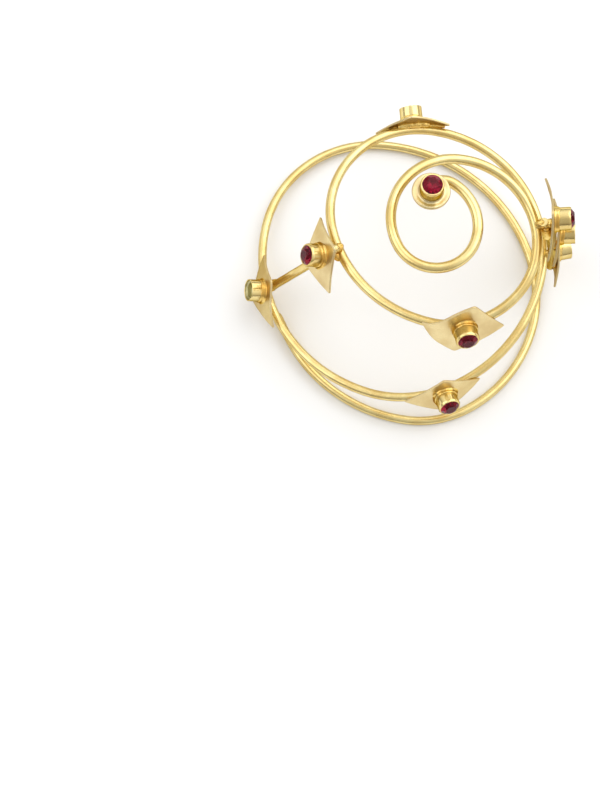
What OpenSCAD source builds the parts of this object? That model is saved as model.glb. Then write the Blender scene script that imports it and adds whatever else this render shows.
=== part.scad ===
// Bun cage: an openwork dome of one spirally wound gilt wire that sits over a hair bun.
// Eight bent lozenge leaves and a crown disc each carry a round cup for a cut stone.
// The foot turn lies on the surface at z = 0 and the crown points up.

/* [Wire] */
// Wire diameter at the crown end of the spiral
wire_d_crown = 2.5; // [2.2:0.05:2.6]
// Wire diameter at the foot end of the spiral
wire_d_foot = 2.1; // [1.8:0.05:2.2]
// Diameter of the straight strut and of the bowed post
rod_d = 2.1; // [1.8:0.05:2.2]
// Sides of the wire's round section
wire_sides = 10; // [8:1:12]
// Length of wire between two rings of the sweep
ring_step = 2.2; // [2:0.1:4]

/* [Leaves] */
// Thickness of the sheet
leaf_t = 0.5; // [0.4:0.1:0.7]

/* [Cups] */
// Outer diameter of a cup
cup_d = 5.5; // [5.2:0.1:5.8]
// Wall of a cup
cup_wall = 0.3; // [0.2:0.05:0.4]
// Height of a cup above its leaf or disc
cup_h = 3.6; // [3.2:0.1:3.8]

/* [Stones] */
// Diameter of a stone at its girdle
stone_d = 4.8; // [4.4:0.1:4.8]
// Height of a stone's table above its girdle
crown_h = 0.9; // [0.7:0.1:1]
// Depth of a stone below its girdle
pavilion_h = 2; // [1.6:0.1:2.2]

/* [Crown disc] */
// Diameter of the disc that carries the crown cup
disc_d = 8.9; // [8:0.1:9.5]
// Thickness of the disc
disc_t = 0.9; // [0.7:0.1:1.2]

/* [Hidden] */

gold = "#e3c25f";
garnet_red = "#5a0f1e";
solder_d = 1.8;
hairline = 0.05;
overlap = 0.3;

// The wire is bent clockwise, seen from above, in one flat arc after another.
// Columns: bend radius, bend angle. A row for each arc, from under the crown disc to the foot.
BEND_R = 0;
BEND_ANGLE = 1;
wire_bends = [
    [4.6, 62],
    [11.8, 77],
    [9.3, 67],
    [9.7, 67],
    [15.8, 122],
    [19.3, 68],
    [17.8, 60],
    [19.9, 60],
    [32.0, 65],
    [23.2, 109],
    [30.4, 96],
    [37.3, 54],
    [28.5, 41],
    [39.2, 86],
    [28.6, 80],
    [42.2, 72],
    [34.5, 77],
    [25.2, 35],
    [38.8, 65]
];
wire_start = [3.06, 8.68];
wire_start_heading = 29.4;

// Columns: bend so far, height of the wire's centre. A row wherever the fall changes.
wire_heights = [
    [62, 46.5],
    [202, 45.5],
    [292, 44.5],
    [382, 42],
    [472, 36.5],
    [562, 31],
    [652, 26.5],
    [742, 22],
    [832, 17.5],
    [922, 10.5],
    [982, 4.8],
    [1022, 3.2],
    [1072, 1.8],
    [1112, wire_d_foot / 2]
];
height_window = [-40, -20, 0, 20, 40];
taper_end = 1112;

// Rows of wire_bends that each stretch of wire covers: first row, row after the last.
crown_curl_rows = [0, 6];
upper_turn_rows = [6, 11];
lower_turn_rows = [11, 16];
foot_turn_rows = [16, 19];

// Columns of the leaves: bend so far, rise of the leaf's normal above level, turn of the
// lozenge on the wire, clearance off the wire, shift up the slope, turn about the upright,
// long diagonal, short diagonal, radius that the leaf is bent to, depth of the stone's girdle
// below the cup's rim, place and length of the leg of solder that reaches down to a rod.
// Each leaf is cut and bent by hand.
LEAF_BEND = 0;
LEAF_RISE = 1;
LEAF_ROLL = 2;
LEAF_OFF = 3;
LEAF_UP = 4;
LEAF_YAW = 5;
LEAF_LONG = 6;
LEAF_SHORT = 7;
LEAF_BOW = 8;
LEAF_SINK = 9;
LEAF_LEG_X = 10;
LEAF_LEG = 11;
crown_left = [636, 32, -9, 3.6, -1.6, -12, 18.6, 12.8, 28, 0, -0.7, 1.2];
crown_front = [564, 23, -18, 0.8, 0.9, 4, 20.7, 15, 28, 0, 0, 0];
crown_back = [743, 10, -5.6, 0.3, 0.3, -0.5, 18.5, 13, 27, 0.95, 0, 0];
crown_right = [463, 12, 7, 3.4, 0.4, -17.4, 20, 13, 28, 0, -0.9, 0.8];
lower_left = [1004, 24, 4, 1.1, 2.3, -10, 19.7, 11.9, 28, 0, 0, 0];
lower_front = [912, 21, 0, 0.9, 1, 0, 19.3, 12, 28, 0, 0, 0];
lower_right = [834, 9, 5, 2.8, 5.9, -7.8, 17.2, 13, 27, 0.95, -3.1, 0.4];
foot_right = [1186, 0, 0, 3.65, 7.2, -2.6, 19, 12.4, 22, 0.95, -3.45, 0.35];

strut_foot = [-34.25, -2.85, 5.4];
strut_top = [-19, -1.45, 29.8];

post_y = 1.9;
post_foot = [35.7, 7];
post_top = [29.45, 39];
post_bow_r = 128;

disc_at = [2.5, 5.95];
disc_z = 47.8;

stone_sides = 8;
table_share = 0.56;
star_share = 0.84;
star_lift = 0.52;
girdle_t = 0.12;
lower_share = 0.62;
lower_drop = 0.55;

// The spiral's rule
bend_ends = [
    for (i = 0, sum = 0; i <= len(wire_bends);
        sum = sum + (i < len(wire_bends) ? wire_bends[i][BEND_ANGLE] : 0), i = i + 1) sum
];

function arc_point(from, heading, r, angle) =
    from + r * [sin(heading) - sin(heading - angle), cos(heading - angle) - cos(heading)];

row_starts = [
    for (i = 0, p = wire_start; i < len(wire_bends);
        p = arc_point(p, wire_start_heading - bend_ends[i],
            wire_bends[i][BEND_R], wire_bends[i][BEND_ANGLE]),
        i = i + 1) p
];

function row_of(bend) =
    min(len([for (e = bend_ends) if (e <= bend) 1]), len(wire_bends)) - 1;

function total(list) = list * [for (v = list) 1];

function wire_height(bend) =
    total([for (k = height_window) lookup(bend + k, wire_heights)]) / len(height_window);

function wire_heading(bend) = wire_start_heading - bend;

function wire_point(bend) =
    let (i = row_of(bend),
         p = arc_point(row_starts[i], wire_heading(bend_ends[i]),
             wire_bends[i][BEND_R], bend - bend_ends[i]))
    [p.x, p.y, wire_height(bend)];

function wire_radius(bend) =
    (wire_d_crown + (wire_d_foot - wire_d_crown) * min(1, bend / taper_end)) / 2;

function rings_in(i) =
    ceil(wire_bends[i][BEND_R] * wire_bends[i][BEND_ANGLE] * PI / 180 / ring_step);

// Bends at which a stretch of wire has a ring, with a hairline left before the next stretch
function ring_bends(rows) =
    let (last = rows[1] - 1, gap = hairline / wire_bends[last][BEND_R] * 180 / PI)
    concat(
        [for (i = [rows[0]:last], k = [0:rings_in(i) - 1])
            bend_ends[i] + wire_bends[i][BEND_ANGLE] * k / rings_in(i)],
        [bend_ends[rows[1]] - gap]);

function ring(bend) =
    let (h = wire_heading(bend), r = wire_radius(bend))
    [for (k = [0:wire_sides - 1])
        let (a = 360 * (k + 0.5) / wire_sides)
        wire_point(bend) + r * [-sin(h) * cos(a), cos(h) * cos(a), sin(a)]];

module wire(rows) {
    bends = ring_bends(rows);
    n = wire_sides;
    last = len(bends) - 1;
    points = [for (b = bends) each ring(b)];
    sides = [
        for (i = [0:last - 1], k = [0:n - 1])
            let (a = i * n + k, b = i * n + (k + 1) % n)
            each [[a, b + n, b], [a, a + n, b + n]]
    ];
    ends = [[for (k = [0:n - 1]) k], [for (k = [n - 1:-1:0]) last * n + k]];
    color(gold) polyhedron(points, concat(sides, ends));
}

module crown_curl() { wire(crown_curl_rows); }
module upper_turn() { wire(upper_turn_rows); }
module lower_turn() { wire(lower_turn_rows); }
module foot_turn() { wire(foot_turn_rows); }

// A straight round rod between two points, with a rounded far end
module rod(from, to) {
    run = to - from;
    tilt = acos(run.z / norm(run));
    turn = atan2(run.y, run.x);
    translate(from) rotate([0, tilt, turn]) {
        cylinder(h = norm(run), d = rod_d, $fn = 48);
        translate([0, 0, norm(run)]) sphere(d = rod_d, $fn = 48);
    }
}

module left_strut() {
    color(gold) rod(strut_foot, strut_top);
}

// The post is an arc of a large circle that bows outwards, in a plane of constant y
module right_post() {
    chord = post_top - post_foot;
    out = [chord.y, -chord.x] / norm(chord);
    middle = (post_top + post_foot) / 2;
    centre = middle - out * sqrt(pow(post_bow_r, 2) - pow(norm(chord) / 2, 2));
    foot_angle = atan2(post_foot.y - centre.y, post_foot.x - centre.x);
    top_angle = atan2(post_top.y - centre.y, post_top.x - centre.x);
    color(gold) translate([centre.x, post_y, centre.y])
        rotate([90, 0, 0]) rotate([0, 0, foot_angle])
            rotate_extrude(angle = top_angle - foot_angle, $fn = 720)
                translate([post_bow_r, 0]) circle(d = rod_d, $fn = 48);
}

// Places its children on a leaf's crest: x along the wire, y up the slope, z outwards
module on_leaf(leaf) {
    heading = wire_heading(leaf[LEAF_BEND]) + leaf[LEAF_YAW];
    crest = wire_radius(leaf[LEAF_BEND]) + leaf[LEAF_OFF];
    translate(wire_point(leaf[LEAF_BEND])) rotate([0, 0, heading + 180])
        rotate([90 - leaf[LEAF_RISE], 0, 0]) translate([0, leaf[LEAF_UP], crest]) children();
}

// The sheet between two long cylinders, cut to a lozenge
module leaf_plate(leaf) {
    half_long = leaf[LEAF_LONG] / 2;
    half_short = leaf[LEAF_SHORT] / 2;
    bow = leaf[LEAF_BOW];
    intersection() {
        translate([0, 0, leaf_t - bow]) rotate([90, 0, 0]) difference() {
            cylinder(h = 2 * half_long, r = bow, center = true, $fn = 180);
            cylinder(h = 2 * half_long + 1, r = bow - leaf_t, center = true, $fn = 180);
        }
        rotate([0, 0, leaf[LEAF_ROLL]]) translate([0, 0, -half_long])
            linear_extrude(2 * half_long) polygon([
                [half_long, 0], [0, half_short], [-half_long, 0], [0, -half_short]
            ]);
    }
}

// A round cup that stands on z = 0, open at the top
module cup_wall_ring() {
    translate([0, 0, -overlap]) cylinder(h = cup_h + overlap, d = cup_d, $fn = 64);
}

module cup_hollow() {
    translate([0, 0, hairline]) cylinder(h = cup_h + 1, d = cup_d - 2 * cup_wall, $fn = 64);
}

module leaf_setting(leaf) {
    color(gold) on_leaf(leaf) difference() {
        union() {
            leaf_plate(leaf);
            translate([0, 0, leaf_t]) cup_wall_ring();
            translate([leaf[LEAF_LEG_X], 0, -leaf[LEAF_LEG]])
                cylinder(h = leaf[LEAF_LEG] + leaf_t / 2, d = solder_d, $fn = 32);
        }
        translate([0, 0, leaf_t]) cup_hollow();
    }
}

module leaf_crown_left() { leaf_setting(crown_left); }
module leaf_crown_front() { leaf_setting(crown_front); }
module leaf_crown_back() { leaf_setting(crown_back); }
module leaf_crown_right() { leaf_setting(crown_right); }
module leaf_lower_left() { leaf_setting(lower_left); }
module leaf_lower_front() { leaf_setting(lower_front); }
module leaf_lower_right() { leaf_setting(lower_right); }
module leaf_foot_right() { leaf_setting(foot_right); }

module crown_setting() {
    color(gold) translate([disc_at.x, disc_at.y, disc_z]) difference() {
        union() {
            cylinder(h = disc_t, d = disc_d, $fn = 96);
            translate([0, 0, disc_t]) cup_wall_ring();
        }
        translate([0, 0, disc_t]) cup_hollow();
    }
}

// A ring of a stone's corners
function stone_ring(n, r, z, turn) =
    [for (k = [0:n - 1]) [r * cos(360 * (k + turn) / n), r * sin(360 * (k + turn) / n), z]];

// A round cut stone with its girdle at z = 0: a table, 8 star, 8 kite and 16 girdle facets
// above, and 16 girdle and 8 main facets below, down to a point
module stone() {
    n = stone_sides;
    r = stone_d / 2;
    points = concat(
        stone_ring(n, r * table_share, crown_h, 0),
        stone_ring(n, r * star_share, crown_h * star_lift, 0.5),
        stone_ring(2 * n, r, 0, 0),
        stone_ring(2 * n, r, -girdle_t, 0),
        stone_ring(n, r * lower_share, -girdle_t - pavilion_h * (1 - lower_drop), 0.5),
        [[0, 0, -girdle_t - pavilion_h]]);
    star = n;
    girdle = 2 * n;
    under = 4 * n;
    low = 6 * n;
    tip = 7 * n;
    faces = concat(
        [[for (k = [n - 1:-1:0]) k]],
        [for (k = [0:n - 1]) let (m = (k + 1) % n) each [
            [k, m, star + k],
            [m, star + m, star + k],
            [star + k, star + m, girdle + 2 * m],
            [star + k, girdle + 2 * k + 1, girdle + 2 * k],
            [star + k, girdle + 2 * m, girdle + 2 * k + 1],
            [low + k, under + 2 * k, under + 2 * k + 1],
            [low + k, under + 2 * k + 1, under + 2 * m],
            [low + k, under + 2 * m, low + m],
            [low + k, low + m, tip]
        ]],
        [for (k = [0:2 * n - 1]) let (m = (k + 1) % (2 * n)) each [
            [girdle + k, girdle + m, under + m],
            [girdle + k, under + m, under + k]
        ]]);
    color(garnet_red) polyhedron(points, faces);
}

module leaf_stone(leaf) {
    on_leaf(leaf) translate([0, 0, leaf_t + cup_h - leaf[LEAF_SINK]]) stone();
}

module garnet_crown() {
    translate([disc_at.x, disc_at.y, disc_z + disc_t + cup_h]) stone();
}
module garnet_crown_left() { leaf_stone(crown_left); }
module garnet_crown_front() { leaf_stone(crown_front); }
module garnet_crown_back() { leaf_stone(crown_back); }
module garnet_crown_right() { leaf_stone(crown_right); }
module garnet_lower_front() { leaf_stone(lower_front); }
module garnet_lower_right() { leaf_stone(lower_right); }
module garnet_foot_right() { leaf_stone(foot_right); }

crown_curl();
upper_turn();
lower_turn();
foot_turn();
left_strut();
right_post();
leaf_crown_left();
leaf_crown_front();
leaf_crown_back();
leaf_crown_right();
leaf_lower_left();
leaf_lower_front();
leaf_lower_right();
leaf_foot_right();
crown_setting();
garnet_crown();
garnet_crown_left();
garnet_crown_front();
garnet_crown_back();
garnet_crown_right();
garnet_lower_front();
garnet_lower_right();
garnet_foot_right();
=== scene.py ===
"""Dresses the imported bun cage: one wound gilt wire with bent leaves, cups and garnets.

All shapes are worked out in millimetres from the tables below, which repeat the part's own
named sizes, and are turned to metres where a mesh is made.
"""

import logging
import math
from dataclasses import dataclass, field
from enum import Enum
from typing import Any, Callable, Dict, List, Optional, Sequence, Tuple

import bmesh
import bpy
import numpy as np
from mathutils import Matrix, Vector


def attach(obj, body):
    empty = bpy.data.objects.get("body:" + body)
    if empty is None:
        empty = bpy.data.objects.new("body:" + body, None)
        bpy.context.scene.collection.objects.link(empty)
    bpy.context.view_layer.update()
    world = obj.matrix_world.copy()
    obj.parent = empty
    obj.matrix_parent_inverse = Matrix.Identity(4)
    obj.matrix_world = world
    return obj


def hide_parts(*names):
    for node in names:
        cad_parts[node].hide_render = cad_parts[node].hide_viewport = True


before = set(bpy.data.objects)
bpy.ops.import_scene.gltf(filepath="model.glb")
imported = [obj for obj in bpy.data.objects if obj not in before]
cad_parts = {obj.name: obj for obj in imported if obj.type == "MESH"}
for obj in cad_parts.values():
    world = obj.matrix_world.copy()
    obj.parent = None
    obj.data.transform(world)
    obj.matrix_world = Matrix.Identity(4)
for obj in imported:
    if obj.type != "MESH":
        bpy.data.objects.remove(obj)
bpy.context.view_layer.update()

LOG = logging.getLogger("bun_cage")
MM = 0.001
BODY = "root"
GILT_SLOT = "gilt"
GARNET_SLOT = "garnet"
QUARTER = math.pi / 2
WHITE = "#FFFFFF"

# Smooth noise: number of waves, how much finer and fainter each next one is, and the divisor
WAVES = 7
FINER = 1.37
FAINTER = 0.8
WAVE_SUM = 2.6

Point = Tuple[float, float, float]
Bead = Tuple[float, float, float, float]
Material = bpy.types.Material
Node = bpy.types.Node
Tree = bpy.types.NodeTree
Socket = bpy.types.NodeSocket


# Small helpers


def linear(hex_colour: str) -> Tuple[float, float, float, float]:
    """Turns an sRGB hex colour into Blender's linear colour.

    Args:
        hex_colour: Six hex digits with a leading hash.

    Returns:
        Red, green, blue and an alpha of one.
    """
    parts = [int(hex_colour[i:i + 2], 16) / 255 for i in (1, 3, 5)]
    lin = [c / 12.92 if c <= 0.04045 else ((c + 0.055) / 1.055) ** 2.4 for c in parts]
    return lin[0], lin[1], lin[2], 1.0


def add_node(tree: Tree, kind: str, links: Optional[Dict[Any, Any]] = None,
             stops: Sequence[Tuple[float, str]] = (), keeps: Sequence[str] = (),
             **settings: Any) -> Node:
    """Adds a node with its settings, input values and incoming links.

    Args:
        tree: Node tree that the node goes in.
        kind: Blender's identifier of the node type.
        links: Input name or index to a value, an output, or a node whose first output feeds it.
        stops: Place from 0 to 1 and sRGB hex colour of each stop, where the node has a ramp.
        keeps: Names of the numbers that the node keeps, where it captures any.
        **settings: Properties of the node itself.

    Returns:
        The new node.
    """
    node = tree.nodes.new(kind)
    for key, value in settings.items():
        setattr(node, key, value)
    for name in keeps:
        node.capture_items.new("FLOAT", name)
    if stops:
        elements = node.color_ramp.elements
        while len(elements) < len(stops):
            elements.new(0.5)
        for element, (place, colour) in zip(elements, stops):
            element.position = place
            element.color = linear(colour)
    for key, value in (links or {}).items():
        if isinstance(value, Node):
            value = next(o for o in value.outputs if o.enabled)
        if isinstance(value, Socket):
            tree.links.new(value, node.inputs[key])
        else:
            node.inputs[key].default_value = value
    return node


def new_material(name: str) -> Tuple[Material, Tree]:
    """Starts a material.

    Args:
        name: Its name.

    Returns:
        The material and its empty node tree.
    """
    material = bpy.data.materials.new(name)
    material.use_nodes = True
    material.node_tree.nodes.clear()
    return material, material.node_tree


def show(name: str, data: Any) -> bpy.types.Object:
    """Puts a mesh, light or camera in the scene.

    Args:
        name: Name of the object.
        data: What the object shows.

    Returns:
        The object, at the origin.
    """
    obj = bpy.data.objects.new(name, data)
    bpy.context.scene.collection.objects.link(obj)
    return obj


def wobble(places: np.ndarray, size: float, seed: int) -> np.ndarray:
    """Smooth noise from a few crossed waves, the same on every run.

    Args:
        places: Points as rows, in millimetres.
        size: Length of the longest wave, in millimetres.
        seed: Picks the directions and phases.

    Returns:
        One value for each point, about -1 to 1.
    """
    rng = np.random.default_rng(seed)
    total = np.zeros(len(places))
    for octave in range(WAVES):
        axis = rng.normal(size=places.shape[1])
        axis /= np.linalg.norm(axis)
        total += np.sin(places @ axis * (2 * math.pi / size) * FINER ** octave
                        + rng.uniform(0, 2 * math.pi)) * FAINTER ** octave
    return total / WAVE_SUM


def around(steps: int) -> np.ndarray:
    """Angles of points spaced evenly round a circle."""
    return np.arange(steps) * 2 * math.pi / steps


def unit(vector: np.ndarray) -> np.ndarray:
    """A vector's direction, with a length of one."""
    return vector / np.linalg.norm(vector)


def wrapped(angle: np.ndarray) -> np.ndarray:
    """An angle brought to the range of -pi to pi."""
    return np.angle(np.exp(1j * angle))


def band(first: int, second: int, n: int) -> List[List[int]]:
    """Faces between two rings of points.

    Args:
        first: Number of the ring that they start from.
        second: Number of the ring that they reach.
        n: Points in a ring.

    Returns:
        Four corners for each face.
    """
    return [[first * n + k, first * n + (k + 1) % n, second * n + (k + 1) % n, second * n + k]
            for k in range(n)]


@dataclass
class Draft:
    """A mesh in the making, in millimetres.

    Attributes:
        verts: Points as rows.
        faces: Corners of each face, by index.
        finishes: Index of the material of each face.
        count: Number of points so far.
    """

    verts: List[np.ndarray] = field(default_factory=list)
    faces: List[List[int]] = field(default_factory=list)
    finishes: List[int] = field(default_factory=list)
    count: int = 0

    def add(self, verts: np.ndarray, faces: Sequence[Sequence[int]], finish: int = 0) -> None:
        """Adds points and the faces between them.

        Args:
            verts: Points as rows.
            faces: Corners by index into verts.
            finish: Index of the material.
        """
        self.verts.append(np.asarray(verts, float))
        self.faces.extend([[self.count + i for i in f] for f in faces])
        self.finishes.extend([finish] * len(faces))
        self.count += len(verts)

    def loft(self, rings: Sequence[np.ndarray]) -> None:
        """Joins rings of points into a closed skin.

        Args:
            rings: Rings with the same number of points.
        """
        n, parts = len(rings[0]), len(rings) - 1
        faces = [face for i in range(parts) for face in band(i, i + 1, n)]
        faces.append(list(range(n - 1, -1, -1)))
        faces.append([parts * n + k for k in range(n)])
        self.add(np.vstack(rings), faces)

    def lathe(self, profile: Sequence[Tuple[float, float]], steps: int, finish: int,
              shape: Callable[[np.ndarray], np.ndarray]) -> None:
        """Turns a profile that starts and ends on the axis about z.

        Args:
            profile: Radius and height of each point; the first and the last have radius 0.
            steps: Number of points round the axis.
            finish: Index of the material.
            shape: Moves the points before they are added.
        """
        angles, inner = around(steps), profile[1:-1]
        verts = [np.c_[r * np.cos(angles), r * np.sin(angles), np.full(steps, z)]
                 for r, z in inner]
        points = np.vstack(verts + [[[0, 0, profile[0][1]]], [[0, 0, profile[-1][1]]]])
        faces = [face for i in range(len(inner) - 1) for face in band(i, i + 1, steps)]
        first, base = len(inner) * steps, (len(inner) - 1) * steps
        for k in range(steps):
            m = (k + 1) % steps
            faces += [[first, m, k], [first + 1, base + k, base + m]]
        self.add(shape(points), faces, finish)

    def place(self, matrix: np.ndarray) -> None:
        """Moves all points by a 4 by 4 matrix in millimetres."""
        self.verts = [v @ matrix[:3, :3].T + matrix[:3, 3] for v in self.verts]

    def piece(self, name: str, finishes: Sequence[Material],
              smooth_under: float = 40) -> bpy.types.Object:
        """Makes the object, in metres, with its faces pointing outwards.

        Args:
            name: Name of the object.
            finishes: Its materials.
            smooth_under: Edges flatter than this many degrees are shaded smooth.

        Returns:
            The finished object at the origin.
        """
        mesh = bpy.data.meshes.new(name)
        mesh.from_pydata((np.vstack(self.verts) * MM).tolist(), [], self.faces)
        for material in finishes:
            mesh.materials.append(material)
        mesh.polygons.foreach_set("material_index", self.finishes)
        shell = bmesh.new()
        shell.from_mesh(mesh)
        bmesh.ops.remove_doubles(shell, verts=shell.verts, dist=1e-7)
        bmesh.ops.recalc_face_normals(shell, faces=shell.faces)
        shell.to_mesh(mesh)
        shell.free()
        mesh.shade_smooth()
        mesh.set_sharp_from_angle(angle=math.radians(smooth_under))
        return show(name, mesh)


def hand_over(piece: bpy.types.Object, slot: str, *nodes: str) -> None:
    """Attaches a piece to its body, hides the solids that it stands for, and logs them.

    Args:
        piece: Finished object.
        slot: Material slot of the record; not used.
        *nodes: Solids that the piece stands for.
    """
    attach(piece, BODY)
    if nodes:
        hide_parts(*nodes)
    LOG.info("%s: %d faces for %s", piece.name, len(piece.data.polygons),
             ", ".join(nodes) or "no solid")


# Geometry node trees


def open_tree(name: str, sockets: Dict[str, str]) -> Tuple[Tree, Any]:
    """Starts a geometry node tree.

    Args:
        name: Name of the tree.
        sockets: Name and kind of each input.

    Returns:
        The tree and the outputs that give its inputs.
    """
    tree = bpy.data.node_groups.new(name, "GeometryNodeTree")
    for label, kind in sockets.items():
        tree.interface.new_socket(label, in_out="INPUT", socket_type=f"NodeSocket{kind}")
    tree.interface.new_socket("Result", in_out="OUTPUT", socket_type="NodeSocketGeometry")
    return tree, add_node(tree, "NodeGroupInput").outputs


def close_tree(tree: Tree, shape: Node, noise: Dict[str, Any], depth: Socket,
               finish: Socket, scale: float = 1.0) -> None:
    """Ends a tree with a little unevenness, smooth shading, real instances and the material.

    Args:
        tree: The tree.
        shape: Node that gives the geometry.
        noise: Inputs of the noise that pushes the surface in and out.
        depth: Height of that unevenness.
        finish: The material.
        scale: Scale from the tree's units to metres.
    """
    bumps = add_node(tree, "ShaderNodeTexNoise", noise, noise_dimensions="3D")
    centred = add_node(tree, "ShaderNodeMath", {0: bumps, 1: 0.5}, operation="SUBTRACT")
    height = add_node(tree, "ShaderNodeMath", {0: centred, 1: depth}, operation="MULTIPLY")
    push = add_node(tree, "ShaderNodeVectorMath", {
        0: add_node(tree, "GeometryNodeInputNormal"), "Scale": height}, operation="SCALE")
    for kind, more in (("SetPosition", {"Offset": push}),
                       ("Transform", {"Scale": (scale, scale, scale)}),
                       ("SetShadeSmooth", {}), ("RealizeInstances", {}),
                       ("SetMaterial", {"Material": finish})):
        shape = add_node(tree, f"GeometryNode{kind}", {"Geometry": shape, **more})
    add_node(tree, "NodeGroupOutput", {"Result": shape})


def grow(obj: bpy.types.Object, tree: Tree, values: Dict[str, Any]) -> None:
    """Runs a tree on an object, keeps the result as its mesh, and flattens it below z = 0.

    Args:
        obj: Object that carries the tree's input.
        tree: Geometry node tree.
        values: Value of each named input.
    """
    modifier = obj.modifiers.new(tree.name, "NODES")
    modifier.node_group = tree
    for item in tree.interface.items_tree:
        if item.item_type == "SOCKET" and item.in_out == "INPUT" and item.name in values:
            modifier[item.identifier] = values[item.name]
    bpy.context.view_layer.update()
    graph = bpy.context.evaluated_depsgraph_get()
    mesh = bpy.data.meshes.new_from_object(obj.evaluated_get(graph))
    obj.modifiers.remove(modifier)
    obj.data = mesh
    mesh.name = obj.name
    for vert in mesh.vertices:
        vert.co.z = max(vert.co.z, 0.0)


# Finishes


class Grain(Enum):
    """How the surface of the metal was left."""

    DRAWN = "drawn through a plate, so its fine lines run along the wire"
    ROLLED = "rolled sheet, rubbed satin with a fine abrasive"
    BURNISHED = "strip bent round a rod and burnished"
    FLOWED = "solder that flowed and was plated over"
    BARE = "thinly plated inside of a cup, dulled by old cement"


# Part of a noise's range that is stretched to the whole, and that of the pits' distances
NOISE_RANGE = (0.3, 0.7)
PIT_RANGE = (0.02, 0.1)

# Fineness of the marks in each direction, as a share of the finest
STRETCH: Dict[Grain, Point] = {
    Grain.ROLLED: (0.12, 0.5, 1.0),
    Grain.BURNISHED: (0.3, 0.3, 0.6),
    Grain.FLOWED: (0.3, 0.3, 0.3),
    Grain.BARE: (0.4, 0.4, 0.4),
}


@dataclass(frozen=True)
class GiltBrass:
    """Brass plated in pale yellow gold and polished to a soft shine.

    It gives the eye a clear but slightly blurred mirror, with a pale yellow in the light and
    tan to orange where it mirrors itself.

    Attributes:
        grain: How the surface was left.
        bright: Colour of the clean plating.
        worn: Colour where the plating is thinner or dulled.
        edge: Tint of the mirror at a glancing angle.
        roughness: Roughness of the polished places and of the dull ones.
        uneven: How much the fine marks change the roughness.
        cloud_mm: Size of the worn and clean places.
        line_mm: Spacing of the finest marks. Real ones lie closer and wouldn't show in the
            render, so they are drawn as coarse as they need to show.
        line_depth_mm: Depth of those marks.
        dent_mm: Size of the shallow unevenness.
        dent_depth_mm: Depth of that unevenness.
        pit_mm: Spacing of the pits.
        pit_depth_mm: Depth of the pits.
    """

    grain: Grain
    bright: str = "#F3DE9C"
    worn: str = "#E5C983"
    edge: str = "#A8935A"
    roughness: Tuple[float, float] = (0.19, 0.3)
    uneven: float = 0.035
    cloud_mm: float = 5.5
    line_mm: float = 0.12
    line_depth_mm: float = 0.0024
    dent_mm: float = 2.2
    dent_depth_mm: float = 0.03
    pit_mm: float = 1.6
    pit_depth_mm: float = 0.02

    def build(self) -> Material:
        """Makes the material.

        Returns:
            The material with all its nodes.
        """
        material, tree = new_material(f"gilt_brass_{self.grain.name.lower()}")
        coords = add_node(tree, "ShaderNodeTexCoord")
        place = coords.outputs["Object"]
        finest = 1 / (self.line_mm * MM)
        along, stretch = coords.outputs["UV"], (finest * 0.02, finest, 1.0)
        if self.grain is not Grain.DRAWN:
            along, stretch = place, tuple(finest * share for share in STRETCH[self.grain])
        marks = add_node(tree, "ShaderNodeMapping", {"Vector": along, "Scale": stretch})
        lines = add_node(tree, "ShaderNodeTexNoise", {
            "Vector": marks, "Scale": 1.0, "Detail": 3.0})
        cloud = add_node(tree, "ShaderNodeTexNoise", {
            "Vector": place, "Scale": 1 / (self.cloud_mm * MM), "Detail": 4.0})
        dents = add_node(tree, "ShaderNodeTexNoise", {
            "Vector": place, "Scale": 1 / (self.dent_mm * MM), "Detail": 1.5,
            "Roughness": 0.4})
        pits = add_node(tree, "ShaderNodeTexVoronoi", {
            "Vector": place, "Scale": 1 / (self.pit_mm * MM)})
        dull, fine, pitted = (add_node(tree, "ShaderNodeMapRange", {
            "Value": value, "From Min": start, "From Max": end, "To Min": low, "To Max": high})
            for value, (start, end), low, high in (
                (cloud, NOISE_RANGE, self.roughness[1], self.roughness[0]),
                (lines, NOISE_RANGE, -self.uneven, self.uneven),
                (pits, PIT_RANGE, 0.0, 1.0)))
        rough = add_node(tree, "ShaderNodeMath", {0: dull, 1: fine}, operation="ADD")
        colour = add_node(tree, "ShaderNodeValToRGB", {0: cloud},
                          stops=[(0.38, self.worn), (0.62, self.bright)])
        bump: Dict[str, Any] = {}
        for height, depth_mm, strength in (
                (dents, self.dent_depth_mm, 1.0), (lines, self.line_depth_mm, 1.0),
                (pitted, self.pit_depth_mm, 0.5)):
            bump = {"Normal": add_node(tree, "ShaderNodeBump", {
                "Height": height, "Distance": depth_mm * MM, "Strength": strength, **bump})}
        shader = add_node(tree, "ShaderNodeBsdfPrincipled", {
            "Base Color": colour, "Metallic": 1.0, "Roughness": rough,
            "Specular Tint": linear(self.edge), **bump})
        add_node(tree, "ShaderNodeOutputMaterial", {"Surface": shader})
        return material


DRAWN_WIRE = GiltBrass(Grain.DRAWN)
ROLLED_SHEET = GiltBrass(Grain.ROLLED, bright="#ECD8A4", worn="#DDC592",
                         roughness=(0.24, 0.36), dent_mm=4.0, dent_depth_mm=0.05)
BURNISHED_STRIP = GiltBrass(Grain.BURNISHED, roughness=(0.13, 0.22), line_depth_mm=0.001,
                            dent_mm=1.4)
FLOWED_SOLDER = GiltBrass(Grain.FLOWED, bright="#F6D886", worn="#DFB058",
                          roughness=(0.2, 0.34), dent_mm=0.8, dent_depth_mm=0.07)
BARE_CUP = GiltBrass(Grain.BARE, bright="#E9E2B4", worn="#8E8658", roughness=(0.35, 0.6),
                     dent_mm=0.7, dent_depth_mm=0.08)


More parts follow.
